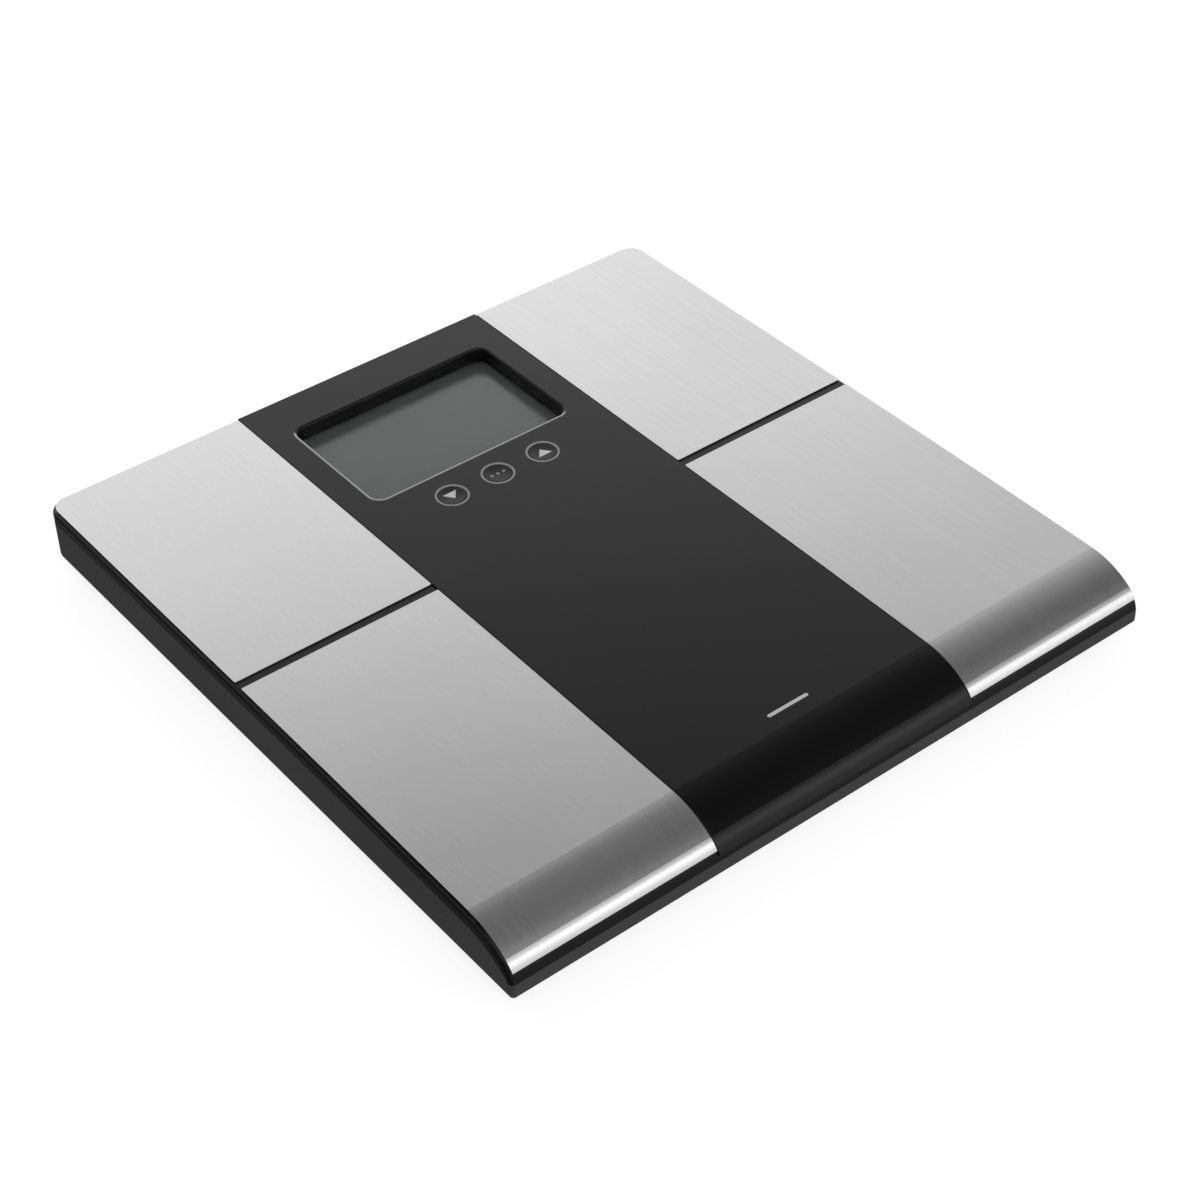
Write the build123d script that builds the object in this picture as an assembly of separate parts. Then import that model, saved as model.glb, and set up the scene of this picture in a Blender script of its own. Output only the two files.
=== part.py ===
from build123d import *
import os
from math import acos, asin, cos, degrees, dist, radians, sin

# Digital bathroom scale. Millimetres, +X right, +Y towards the display end, +Z up.
# The origin is on the floor, under the middle of the body.

# Overall size
body_width = 313.0
body_length = 318.6
body_thickness = 24.0
foot_stand_height = 8.0
base_bottom = foot_stand_height
deck_top = base_bottom + body_thickness
side_x = body_width / 2
back_y = body_length / 2
front_y = -body_length / 2

# Deck: flat at the back, slightly cambered, then a rolled nose at the front
recess_depth = 0.9
virtual_front_y = front_y - recess_depth
camber_start_y = 13.35
camber_radius = 8250.0
nose_length = 27.0
nose_start_y = virtual_front_y + nose_length
nose_upper_radius = 37.0
nose_split_deg = 36.0
nose_end_deg = 90.0
nose_start_deg = degrees(asin((camber_start_y - nose_start_y) / camber_radius))
camber_centre = (camber_start_y, deck_top - camber_radius)
upper_centre = (
    camber_centre[0] - (camber_radius - nose_upper_radius) * sin(radians(nose_start_deg)),
    camber_centre[1] + (camber_radius - nose_upper_radius) * cos(radians(nose_start_deg)),
)
split_y = upper_centre[0] - nose_upper_radius * sin(radians(nose_split_deg))
nose_lower_radius = (split_y - virtual_front_y) / (1 - sin(radians(nose_split_deg)))
lower_centre = (
    upper_centre[0] - (nose_upper_radius - nose_lower_radius) * sin(radians(nose_split_deg)),
    upper_centre[1] + (nose_upper_radius - nose_lower_radius) * cos(radians(nose_split_deg)),
)

# Case
skin = 2.2
rear_corner_radius = 8.0
rim_radius = 1.8
bottom_radius = 1.2
skirt_height = 5.7
seam_front_z = 15.0
seam_nose_radius = 35.0
seam_gap = 0.3
cut_over = 1.0
join = 0.1
tolerance = 0.01
base_floor_top = base_bottom + skin
ceiling_z = deck_top - recess_depth - skin
rib_thickness = 1.6
shell_rib_bottom = 20.0
base_rib_top = base_floor_top + 3.0
rib_pitch = 32.0
rib_count = 4
rib_root = 0.5
board_zone_margin = 3.0
key_zone_reach = 12.0
door_zone_margin = 4.0
foot_zone_half_x = 30.0
foot_zone_half_y = 24.0

# Foot plates and centre band
band_half_width = 63.3
band_back_y = back_y - 0.6
band_front_z = 17.5
band_edge_round = 0.4
plate_thickness = 0.65
adhesive_inset = 4.0
plate_outer_x = 155.0
plate_inner_x = band_half_width + 0.25
plate_back_y = back_y - 1.35
plate_front_z = 19.6
plate_split_y = camber_start_y
plate_gap = 4.4
plate_corner_radius = 6.8
plate_small_radius = 0.6

# Display
window_width = 99.6
window_length = 63.2
window_y = 104.6
window_corner_radius = 5.0
window_rim_round = 1.0
well_wall = 2.7
lens_depth = 6.8
lens_top = deck_top - lens_depth
lens_thickness = 1.6
lens_width = 104.4
lens_length = 67.9
lens_corner_radius = 6.5
lcd_width = 103.6
lcd_length = 66.0
lcd_thickness = 2.2
lcd_gap = 0.1
lcd_side_gap = 0.2
lcd_ledge = 4.0
backlight_width = 98.0
backlight_length = 56.0
backlight_thickness = 5.0
backlight_corner_radius = 2.0
backlight_shift_y = 3.5
holder_width = 108.0
holder_length = 70.6
holder_corner_radius = 3.0
zebra_width = 2.4
zebra_length = 90.0
zebra_inset = 0.4
lcd_bottom = lens_top - lens_thickness - lcd_gap - lcd_thickness
board_top = lcd_bottom - backlight_thickness
board_thickness = 1.6
board_bottom = board_top - board_thickness
board_half_width = 62.0
board_front_y = 63.0
board_back_y = 146.0
board_post_x = 58.0
board_post_front_y = 67.5
board_post_back_y = 142.0
board_hole_radius = 1.55
chip_corner_radius = 0.6
# Each chip: centre x, centre y, width, length, height
chips = ((-30.0, 90.0, 14.0, 14.0, 1.2), (-30.0, 116.0, 8.0, 10.0, 1.6), (10.0, 120.0, 6.0, 9.0, 1.6))
capacitor_x = -8.0
capacitor_y = 96.0
capacitor_radius = 3.1
capacitor_height = 2.8

# Keys on the deck
key_y = 56.65
key_pitch = 23.5
key_names = ("down", "set", "up")
key_radius = 6.0
key_hole_radius = 6.3
key_edge_round = 0.3
key_travel = 0.6
key_skirt_z = ceiling_z - 0.3
key_flange_radius = 8.2
key_flange_thickness = 1.2
key_stem_radius = 2.0
key_dish_depth = 0.25
ring_radius = 7.3
ring_depth = 1.3
switch_half = 3.0
switch_top = 25.3
switch_height = 3.5
switch_bore_radius = 1.9
switch_bore_depth = 1.6
plunger_radius = 1.5
plunger_top = 26.4
plunger_bottom = switch_top - switch_bore_depth + key_travel + 0.3
key_board_half_width = 41.0
key_board_half_length = 8.0
key_board_top = switch_top - switch_height
key_board_bottom = key_board_top - board_thickness
key_post_x = 36.0
ribbon_half_width = 5.0
ribbon_thickness = 0.4
ribbon_x = 10.0
ribbon_land = 3.0
ribbon_gap = 0.6

# Feet and load cells
foot_x = 118.0
foot_rear_y = 122.0
foot_front_y = -112.0
foot_radius = 20.0
foot_well_radius = 20.6
foot_bottom = 1.5
foot_edge_round = 1.0
foot_core_radius = 13.5
foot_core_depth = 4.0
foot_flange_radius = 22.5
foot_flange_bottom = base_floor_top + 0.3
foot_flange_thickness = 1.8
foot_hub_radius = 6.0
foot_pin_radius = 2.5
foot_pin_gap = 0.02
pad_radius = 17.5
pad_seat_depth = 1.5
pad_edge_round = 0.8
groove_radius = 12.5
groove_width = 1.2
groove_depth = 0.8
cell_half = 17.0
cell_bottom = 17.0
foot_hub_gap = 1.5
foot_hub_top = cell_bottom - foot_hub_gap
cell_thickness = 2.5
cell_top = cell_bottom + cell_thickness
cell_corner_radius = 3.0
cell_slot_width = 3.0
cell_frame_width = 6.0
cell_side_gap = 0.2
cell_tongue_half = 5.5
gauge_length = 5.0
gauge_width = 3.5
gauge_thickness = 0.5
gauge_offset = 6.0
carrier_half = 20.5
carrier_top = 23.0
carrier_corner_radius = 3.0
carrier_relief_half = 12.0
carrier_roof_bottom = 21.0
carrier_ear_x = 25.0
carrier_ear_radius = 4.0
carrier_notch_half = 3.0
cell_post_radius = 3.5
cell_ring_outer = 17.0
cell_ring_wall = 2.0

# Battery compartment in the underside, and its hinged door
battery_radius = 5.25
battery_length = 43.5
battery_nub_radius = 1.9
battery_nub_length = 1.0
battery_count = 4
battery_pitch = 10.9
battery_y = -38.0
battery_axis_z = 16.2
compartment_half_width = 24.2
compartment_half_length = 22.2
compartment_top = 21.8
compartment_wall = 1.6
compartment_roof = 1.2
door_frame_width = 4.0
door_frame_thickness = 1.6
contact_thickness = 0.4
contact_half = 4.2
contact_bump_radius = 2.4
door_half_width = 27.0
door_thickness = 2.4
door_gap = 0.3
door_back_y = -13.0
door_front_y = -63.0
door_recess_top = base_bottom + door_thickness + door_gap
hinge_y = door_front_y + door_thickness / 2
hinge_z = base_bottom + door_thickness / 2
hinge_pin_radius = 0.8
hinge_bore_radius = 0.86
hinge_pin_length = 1.8
grip_radius = 7.0
grip_depth = 1.2
ridge_count = 3
ridge_margin = 5.0
ridge_pitch = 2.5
ridge_half_length = 9.0
ridge_half_width = 0.5
ridge_depth = 0.5

# Unit button in the underside
unit_x = 40.0
unit_y = 80.0
unit_radius = 4.0
unit_hole_radius = 4.4
unit_bottom = base_bottom + 0.4
unit_edge_round = 0.5
unit_flange_radius = 5.6
unit_flange_bottom = base_floor_top + 0.3
unit_flange_thickness = 0.9
unit_tip_radius = 1.5
unit_switch_bottom = 12.6
unit_travel = 0.5
unit_slack = 0.1

# Fasteners
screw_radius = 1.4
screw_hole_radius = 1.45
screw_head_radius = 2.7
screw_head_height = 1.8
screw_head_round = 0.5
screw_slot_length = 3.2
screw_slot_width = 0.7
screw_slot_depth = 0.9
case_screw_length = 10.0
board_screw_length = 6.0
key_screw_length = 5.5
carrier_screw_length = 5.0
case_screw_recess = 0.7
boss_radius = 3.6
counterbore_radius = 3.2
case_tower_radius = 5.0
case_boss_bottom = 13.0
case_pilot_run = 9.0
board_pilot_run = 6.0
key_board_pilot_run = 5.0
carrier_pilot_run = 3.5
case_screw_spots = (
    (-147.0, 80.0), (147.0, 80.0), (-147.0, -48.0), (147.0, -48.0),
    (-75.0, 150.0), (75.0, 150.0), (-75.0, -133.0), (75.0, -133.0),
)

# Electrode contacts and wires
contact_x = 80.0
rear_contact_y = 25.0
front_contact_y = 4.0
electrode_head_radius = 3.0
electrode_shank_radius = 1.5
electrode_bottom = 26.0
electrode_fit_gap = 0.05
electrode_film_gap = 0.5
stud_gap = 0.01
tab_half_x = 2.5
tab_half_y = 1.5
tab_thickness = 0.5
cell_wire_radius = 0.8
cell_wire_z = cell_bottom + 1.2
cell_wire_land_x = 56.5
cell_wire_turn_x = 78.0
rear_cell_wire_x = 86.0
rear_cell_wire_y = 110.0
front_cell_wire_x = 90.0
front_cell_wire_y = 70.0
front_cell_wire_land_y = 82.0
thin_wire_radius = 0.6
thin_wire_bend = 2.5
wire_bend = 4.0
wire_overlap = 2.5
rear_contact_wire_x = 46.0
front_contact_wire_x = 50.0
rear_contact_wire_shift = 6.0
contact_wire_approach = 12.0
contact_wire_drop = 1.0
battery_wire_xs = (-14.0, -10.0)
battery_wire_z = 19.0
battery_wire_run = 12.0
battery_wire_shift = 10.0
battery_wire_approach = 14.0


# ---------- small helpers ----------

def block(x0, x1, y0, y1, z0, z1):
    """Box between two opposite corners."""
    centre = Pos((x0 + x1) / 2, (y0 + y1) / 2, (z0 + z1) / 2)
    return centre * Box(abs(x1 - x0), abs(y1 - y0), abs(z1 - z0))


def disc(x, y, radius, z0, z1):
    """Upright cylinder between two heights."""
    return Pos(x, y, (z0 + z1) / 2) * Cylinder(radius, z1 - z0)


def rounded_block(x, y, width, length, radius, z0, z1):
    """Upright prism with a rounded rectangle for its plan."""
    return extrude(Pos(x, y, z0) * RectangleRounded(width, length, radius), z1 - z0)


def lying_disc(x0, x1, y, z, radius):
    """Cylinder along X."""
    return Pos((x0 + x1) / 2, y, z) * Rot(0, 90, 0) * Cylinder(radius, abs(x1 - x0))


def wire(points, radius, bend):
    """Round wire along straight runs joined by tangent arcs."""
    path = FilletPolyline(*points, radius=bend)
    section = Plane(origin=path @ 0, z_dir=path % 0) * Circle(radius)
    return sweep(section, path=path)


def group(pieces):
    """Separate solids kept together in one node."""
    return Compound(children=[piece.solid() for piece in pieces])


# ---------- deck profile, drawn in the YZ plane ----------

def on_arc(centre, radius, angle_deg):
    """Point of an arc, with the angle measured from straight up towards the front."""
    return (centre[0] - radius * sin(radians(angle_deg)), centre[1] + radius * cos(radians(angle_deg)))


def deck_arc(centre, radius, start_deg, end_deg):
    """Arc of the profile between two angles."""
    middle_deg = (start_deg + end_deg) / 2
    angles = (start_deg, middle_deg, end_deg)
    return ThreePointArc(*[on_arc(centre, radius, angle) for angle in angles])


def nose_angle_at(height, depth):
    """Angle on the lower nose arc at which a surface at this depth reaches a height."""
    return degrees(acos((height - lower_centre[1]) / (nose_lower_radius - depth)))


def deck_edges(depth, start_y, end_deg):
    """Edges of the deck surface, offset inwards by a depth, from start_y to an angle on the nose."""
    edges = []
    if start_y > camber_start_y:
        edges.append(Line((start_y, deck_top - depth), (camber_start_y, deck_top - depth)))
        start_deg = 0.0
    else:
        start_deg = degrees(asin((camber_start_y - start_y) / camber_radius))
    edges.append(deck_arc(camber_centre, camber_radius - depth, start_deg, nose_start_deg))
    edges.append(deck_arc(upper_centre, nose_upper_radius - depth, nose_start_deg, nose_split_deg))
    edges.append(deck_arc(lower_centre, nose_lower_radius - depth, nose_split_deg, end_deg))
    return edges


def closed_face(edges):
    """Face bounded by a chain of edges and one closing line, in the YZ plane."""
    closing = Line(edges[-1] @ 1, edges[0] @ 0)
    return Plane.YZ * make_face([*edges, closing])


def deck_sheet(top_depth, bottom_depth, start_y, end_deg, x0, x1):
    """Sheet that follows the deck between two depths."""
    top = deck_edges(top_depth, start_y, end_deg)
    bottom = deck_edges(bottom_depth, start_y, end_deg)
    front = Line(top[-1] @ 1, bottom[-1] @ 1)
    back = Line(bottom[0] @ 0, top[0] @ 0)
    face = Plane.YZ * make_face([*top, front, *bottom, back])
    return Pos(x0, 0, 0) * extrude(face, x1 - x0)


def body_prism(inset):
    """Outer form of the closed case, inset evenly on all sides but the bottom."""
    depth = recess_depth + inset
    edges = deck_edges(depth, back_y - inset, nose_end_deg)
    corner = edges[-1] @ 1
    edges.append(Line(corner, (corner.X, base_bottom)))
    edges.append(Line((corner.X, base_bottom), (back_y - inset, base_bottom)))
    prism = extrude(closed_face(edges), side_x - inset, both=True)
    rear_corners = prism.edges().filter_by(Axis.Z).group_by(Axis.Y)[-1]
    return fillet(rear_corners, rear_corner_radius - inset)


def case_form():
    """Case with its rounded rim and rounded bottom edge."""
    prism = body_prism(0)
    side_faces = prism.faces().filter_by(Axis.X).sort_by(Axis.X)
    rear_top = prism.faces().filter_by(Axis.Z).sort_by(Axis.Z)[-1].edges()
    rim = [edge for face in (side_faces[0], side_faces[-1]) for edge in face.edges()]
    rim = [edge for edge in rim if edge.center().Z > base_bottom + cut_over and not is_rear_upright(edge)]
    rim += [edge for edge in rear_top if edge.center().Y > back_y - rear_corner_radius / 2]
    rounded = fillet(unique_edges(rim), rim_radius)
    bottom = rounded.faces().sort_by(Axis.Z)[0].edges()
    return fillet(bottom, bottom_radius)


def is_rear_upright(edge):
    """True for the seam edge between a side wall and its rear corner."""
    box = edge.bounding_box()
    return box.size.Z > 1 and box.min.Y > back_y - rear_corner_radius - 1


def unique_edges(edges):
    """Edges without repeats."""
    kept = []
    for edge in edges:
        if all((edge.center() - other.center()).length > tolerance for other in kept):
            kept.append(edge)
    return kept


def below_seam(gap):
    """Region under the seam between the platform shell and the base tray."""
    seam_radius = seam_nose_radius
    depth = skirt_height + gap
    edges = [
        Line((back_y + cut_over, deck_top - depth), (camber_start_y, deck_top - depth)),
        deck_arc(camber_centre, camber_radius - depth, 0, nose_start_deg),
    ]
    start = edges[-1] @ 1
    centre = (
        start.X + seam_radius * sin(radians(nose_start_deg)),
        start.Y - seam_radius * cos(radians(nose_start_deg)),
    )
    end_deg = degrees(acos((seam_front_z - gap - centre[1]) / seam_radius))
    edges.append(deck_arc(centre, seam_radius, nose_start_deg, end_deg))
    end = edges[-1] @ 1
    low_z = base_bottom - cut_over
    out_y = front_y - cut_over
    edges.append(Line(end, (out_y, end.Y)))
    edges.append(Line((out_y, end.Y), (out_y, low_z)))
    edges.append(Line((out_y, low_z), (back_y + cut_over, low_z)))
    return extrude(closed_face(edges), side_x + cut_over, both=True)


# ---------- places that repeat ----------

foot_spots = {
    "rear_left": (-foot_x, foot_rear_y),
    "rear_right": (foot_x, foot_rear_y),
    "front_left": (-foot_x, foot_front_y),
    "front_right": (foot_x, foot_front_y),
}
key_spots = {name: (index - 1) * key_pitch for index, name in enumerate(key_names)}
contact_spots = [(sx * contact_x, y) for sx in (-1, 1) for y in (rear_contact_y, front_contact_y)]
board_posts = [(sx * board_post_x, y) for sx in (-1, 1) for y in (board_post_front_y, board_post_back_y)]
rib_lines = [index * rib_pitch for index in range(-rib_count, rib_count + 1)]


def rib_grid(z0, z1):
    """Crossed stiffening ribs over the whole case."""
    ribs = []
    for line in rib_lines:
        ribs.append(block(line - rib_thickness / 2, line + rib_thickness / 2, front_y, back_y, z0, z1))
        ribs.append(block(-side_x, side_x, line - rib_thickness / 2, line + rib_thickness / 2, z0, z1))
    return ribs


def rib_free_zones(z0, z1):
    """Spaces that the ribs leave open for the modules inside."""
    board_x = board_half_width + board_zone_margin
    door_x = door_half_width + door_zone_margin
    zones = [
        block(-board_x, board_x, key_y - key_zone_reach, board_back_y + board_zone_margin, z0, z1),
        block(-door_x, door_x, door_front_y - door_zone_margin, door_back_y + door_zone_margin, z0, z1),
    ]
    for x, y in foot_spots.values():
        zones.append(block(
            x - foot_zone_half_x, x + foot_zone_half_x, y - foot_zone_half_y, y + foot_zone_half_y, z0, z1
        ))
    return zones


# ---------- platform shell ----------

def display_well():
    """Upright walls around the display window."""
    outer_width = window_width + 2 * well_wall
    outer_length = window_length + 2 * well_wall
    outer_radius = window_corner_radius + well_wall
    top = deck_top - recess_depth
    return rounded_block(0, window_y, outer_width, outer_length, outer_radius, lens_top, top)


def centre_band():
    """Raised band between the plates, with softly broken long edges."""
    end_deg = nose_angle_at(band_front_z, 0)
    band = deck_sheet(0, recess_depth + skin / 2, band_back_y, end_deg, -band_half_width, band_half_width)
    long_edges = [
        edge for face in band.faces().filter_by(Axis.X) for edge in face.edges()
        if is_on_deck(edge)
    ]
    return fillet(long_edges, band_edge_round)


def is_on_deck(edge):
    """True for an edge that lies in the deck surface."""
    point = edge @ 0.5
    if point.Y > camber_start_y:
        return abs(point.Z - deck_top) < tolerance
    arcs = [
        (camber_centre, camber_radius),
        (upper_centre, nose_upper_radius),
        (lower_centre, nose_lower_radius),
    ]
    return any(abs(dist((point.Y, point.Z), centre) - radius) < tolerance for centre, radius in arcs)


def shell_ribs():
    """Ribs, posts and rings that hang from the ceiling of the shell, kept inside its skin."""
    ribs = Part() + rib_grid(shell_rib_bottom, deck_top)
    ribs -= rib_free_zones(shell_rib_bottom - cut_over, deck_top + cut_over)
    posts = [disc(x, y, boss_radius, case_boss_bottom, deck_top) for x, y in case_screw_spots]
    posts += [disc(x, y, boss_radius, board_top, deck_top) for x, y in board_posts]
    posts += [disc(sx * key_post_x, key_y, boss_radius, key_board_top, deck_top) for sx in (-1, 1)]
    for x, y in foot_spots.values():
        ring = disc(x, y, cell_ring_outer, carrier_top, deck_top)
        ring -= disc(x, y, cell_ring_outer - cell_ring_wall, carrier_top - cut_over, deck_top + cut_over)
        posts.append(ring)
        for sx in (-1, 1):
            posts.append(disc(x + sx * carrier_ear_x, y, cell_post_radius, carrier_top, deck_top))
    return ((ribs + posts) & body_prism(skin)) - display_well() - shell_holes()


def pilot(x, y, bottom, run):
    """Blind screw pilot that opens downwards."""
    return disc(x, y, screw_hole_radius, bottom - cut_over, bottom + run)


def shell_holes():
    """Screw pilots, key holes and contact holes of the shell."""
    above = deck_top + cut_over
    below = ceiling_z - cut_over
    holes = [pilot(x, y, case_boss_bottom, case_pilot_run) for x, y in case_screw_spots]
    holes += [pilot(x, y, board_top, board_pilot_run) for x, y in board_posts]
    for sx in (-1, 1):
        holes.append(pilot(sx * key_post_x, key_y, key_board_top, key_board_pilot_run))
        for x, y in foot_spots.values():
            holes.append(pilot(x + sx * carrier_ear_x, y, carrier_top, carrier_pilot_run))
    for x in key_spots.values():
        holes.append(disc(x, key_y, key_hole_radius, below, above))
        holes.append(disc(x, key_y, ring_radius, deck_top - ring_depth, above))
    for x, y in contact_spots:
        holes.append(disc(x, y, electrode_shank_radius + electrode_fit_gap, below, above))
    return holes


def platform_shell():
    """Skin of the deck and its skirt, with the centre band and the display well."""
    shell = case_form() - below_seam(0) - body_prism(skin)
    shell += centre_band()
    shell += display_well()
    shell -= rounded_block(
        0, window_y, window_width, window_length, window_corner_radius,
        lens_top - cut_over, deck_top + cut_over,
    )
    rim = [edge for edge in shell.edges() if is_window_rim(edge)]
    shell = fillet(rim, window_rim_round)
    shell -= shell_holes()
    return shell


def is_window_rim(edge):
    """True for an edge of the display opening in the deck surface."""
    box = edge.bounding_box()
    reach_x = max(abs(box.min.X), abs(box.max.X))
    reach_y = max(abs(box.min.Y - window_y), abs(box.max.Y - window_y))
    inside = reach_x < window_width / 2 + tolerance and reach_y < window_length / 2 + tolerance
    return inside and box.min.Z > deck_top - tolerance


# ---------- plates ----------

def plate_plan(side, y0, y1, outer_corners):
    """Plan of one plate: large outer radius at the back corner, small radii elsewhere."""
    x0, x1 = sorted((side * plate_inner_x, side * plate_outer_x))
    plan = block(x0, x1, y0, y1, base_bottom, deck_top + cut_over)
    uprights = plan.edges().filter_by(Axis.Z)
    large = [edge for edge in uprights if outer_corners and is_outer_back(edge, side, y1)]
    small = [edge for edge in uprights if edge not in large and edge.center().Y > y0 + cut_over]
    small += [edge for edge in uprights if outer_corners and edge.center().Y < y0 + cut_over]
    if large:
        plan = fillet(large, plate_corner_radius)
        spots = [edge.center() for edge in small]
        small = [
            edge for edge in plan.edges().filter_by(Axis.Z)
            if any((edge.center() - spot).length < tolerance for spot in spots)
        ]
    return fillet(small, plate_small_radius)


def is_outer_back(edge, side, y1):
    """True for the upright edge at a plate's outer back corner."""
    centre = edge.center()
    return centre.X * side > plate_outer_x - cut_over and centre.Y > y1 - cut_over


def rear_plate(side):
    y0 = plate_split_y + plate_gap / 2
    plan = plate_plan(side, y0, plate_back_y, True)
    return plan & block(-side_x, side_x, y0, plate_back_y, deck_top - plate_thickness, deck_top)


def front_plate(side):
    y1 = plate_split_y - plate_gap / 2
    end_deg = nose_angle_at(plate_front_z, 0)
    x0, x1 = sorted((side * plate_inner_x, side * plate_outer_x))
    sheet = deck_sheet(0, plate_thickness, y1, end_deg, x0, x1)
    plan = plate_plan(side, virtual_front_y - cut_over, y1, False)
    return sheet & plan


def plate_adhesive():
    """Four thin films between the plates and the shell, open around the contacts."""
    films = []
    end_deg = nose_angle_at(plate_front_z + adhesive_inset, 0)
    back = plate_back_y - adhesive_inset
    rear_y = plate_split_y + plate_gap / 2 + adhesive_inset
    front_y1 = plate_split_y - plate_gap / 2 - adhesive_inset
    holes = [
        disc(x, y, electrode_head_radius + electrode_film_gap, ceiling_z, deck_top) for x, y in contact_spots
    ]
    for side in (-1, 1):
        x0, x1 = sorted((side * (plate_inner_x + adhesive_inset), side * (plate_outer_x - adhesive_inset)))
        rear = block(x0, x1, rear_y, back, deck_top - recess_depth, deck_top - plate_thickness)
        front = deck_sheet(plate_thickness, recess_depth, front_y1, end_deg, x0, x1)
        films += [rear - holes, front - holes]
    return group(films)


# ---------- base tray ----------

def battery_housing():
    """Solid block in the floor that the battery compartment is cut into."""
    frame_x = door_half_width + door_frame_width
    wall_x = compartment_half_width + compartment_wall
    wall_y = compartment_half_length + compartment_wall
    frame = block(
        -frame_x, frame_x, door_front_y - door_frame_width, door_back_y + door_frame_width,
        base_bottom, base_floor_top + door_frame_thickness,
    )
    walls = block(
        -wall_x, wall_x, battery_y - wall_y, battery_y + wall_y,
        base_bottom, compartment_top + compartment_roof,
    )
    return frame + walls


def battery_cuts():
    """Battery cavity, door recess, hinge bores and finger grip."""
    below = base_bottom - cut_over
    cavity = block(
        -compartment_half_width, compartment_half_width,
        battery_y - compartment_half_length, battery_y + compartment_half_length, below, compartment_top,
    )
    recess = block(
        -door_half_width - door_gap, door_half_width + door_gap,
        door_front_y - door_gap, door_back_y + door_gap, below, door_recess_top,
    )
    bore_reach = door_half_width + door_gap + hinge_pin_length
    bores = lying_disc(-bore_reach, bore_reach, hinge_y, hinge_z, hinge_bore_radius)
    grip = Pos(0, door_back_y + door_gap, base_bottom) * Sphere(grip_radius)
    grip &= block(
        -grip_radius, grip_radius, door_back_y, door_back_y + 2 * grip_radius, below, base_bottom + grip_depth
    )
    return [cavity, recess, bores, grip]


def base_tray():
    """Lower case: floor, walls, ribs, battery compartment and all its openings."""
    below = base_bottom - cut_over
    tray = case_form() & below_seam(seam_gap)
    tray -= body_prism(skin) & block(-side_x, side_x, front_y, back_y, base_floor_top, deck_top)
    ribs = Part() + rib_grid(base_floor_top - rib_root, base_rib_top)
    ribs -= rib_free_zones(base_bottom, deck_top)
    tray += ribs & body_prism(skin)
    for x, y in case_screw_spots:
        tray += disc(x, y, case_tower_radius, base_bottom, case_boss_bottom)
    tray += battery_housing()
    tray -= battery_cuts()
    for x, y in foot_spots.values():
        tray -= disc(x, y, foot_well_radius, below, base_floor_top + cut_over)
    head_top = base_bottom + case_screw_recess + screw_head_height
    for x, y in case_screw_spots:
        tray -= disc(x, y, screw_hole_radius, below, case_boss_bottom + cut_over)
        tray -= disc(x, y, counterbore_radius, below, head_top)
    return tray - disc(unit_x, unit_y, unit_hole_radius, below, base_floor_top + cut_over)


# ---------- display and electronics ----------

def display_lens():
    bottom = lens_top - lens_thickness
    return rounded_block(0, window_y, lens_width, lens_length, lens_corner_radius, bottom, lens_top)


def lcd_panel():
    """Two glass sheets, the upper one longer for its contact ledge."""
    half = lcd_thickness / 2
    half_width = lcd_width / 2
    y0 = window_y - lcd_length / 2
    y1 = window_y + lcd_length / 2
    lower = block(-half_width, half_width, y0 + lcd_ledge, y1, lcd_bottom, lcd_bottom + half)
    upper = block(-half_width, half_width, y0, y1, lcd_bottom + half, lcd_bottom + lcd_thickness)
    return lower + upper


def lcd_backlight():
    y = window_y + backlight_shift_y
    return rounded_block(
        0, y, backlight_width, backlight_length, backlight_corner_radius, board_top, lcd_bottom
    )


def lcd_holder():
    """Frame around the LCD that stands on the main board."""
    top = lens_top - lens_thickness
    half_x = lcd_width / 2 + lcd_side_gap
    half_y = lcd_length / 2 + lcd_side_gap
    frame = rounded_block(0, window_y, holder_width, holder_length, holder_corner_radius, board_top, top)
    return frame - block(
        -half_x, half_x, window_y - half_y, window_y + half_y, board_top - cut_over, top + cut_over
    )


def zebra_strip():
    """Rubber connector between the main board and the ledge of the LCD."""
    half = zebra_length / 2
    y0 = window_y - lcd_length / 2 + zebra_inset
    return block(-half, half, y0, y0 + zebra_width, board_top, lcd_bottom + lcd_thickness / 2)


def board_hole(x, y, bottom, top):
    return disc(x, y, board_hole_radius, bottom - cut_over, top + cut_over)


def main_board():
    board = block(-board_half_width, board_half_width, board_front_y, board_back_y, board_bottom, board_top)
    return board - [board_hole(x, y, board_bottom, board_top) for x, y in board_posts]


def board_components():
    """Chips and a capacitor under the board, as separate solids."""
    pieces = [
        rounded_block(x, y, width, length, chip_corner_radius, board_bottom - height, board_bottom)
        for x, y, width, length, height in chips
    ]
    pieces.append(
        disc(capacitor_x, capacitor_y, capacitor_radius, board_bottom - capacitor_height, board_bottom)
    )
    return group(pieces)


def key_board():
    board = block(
        -key_board_half_width, key_board_half_width, key_y - key_board_half_length,
        key_y + key_board_half_length, key_board_bottom, key_board_top,
    )
    return board - [board_hole(sx * key_post_x, key_y, key_board_bottom, key_board_top) for sx in (-1, 1)]


def switch_body(x, y, bottom, top):
    return block(x - switch_half, x + switch_half, y - switch_half, y + switch_half, bottom, top)


def key_switches():
    """Three switch housings, each with a bore for its plunger."""
    bore_bottom = switch_top - switch_bore_depth
    return group([
        switch_body(x, key_y, key_board_top, switch_top)
        - disc(x, key_y, switch_bore_radius, bore_bottom, switch_top + cut_over)
        for x in key_spots.values()
    ])


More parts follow.
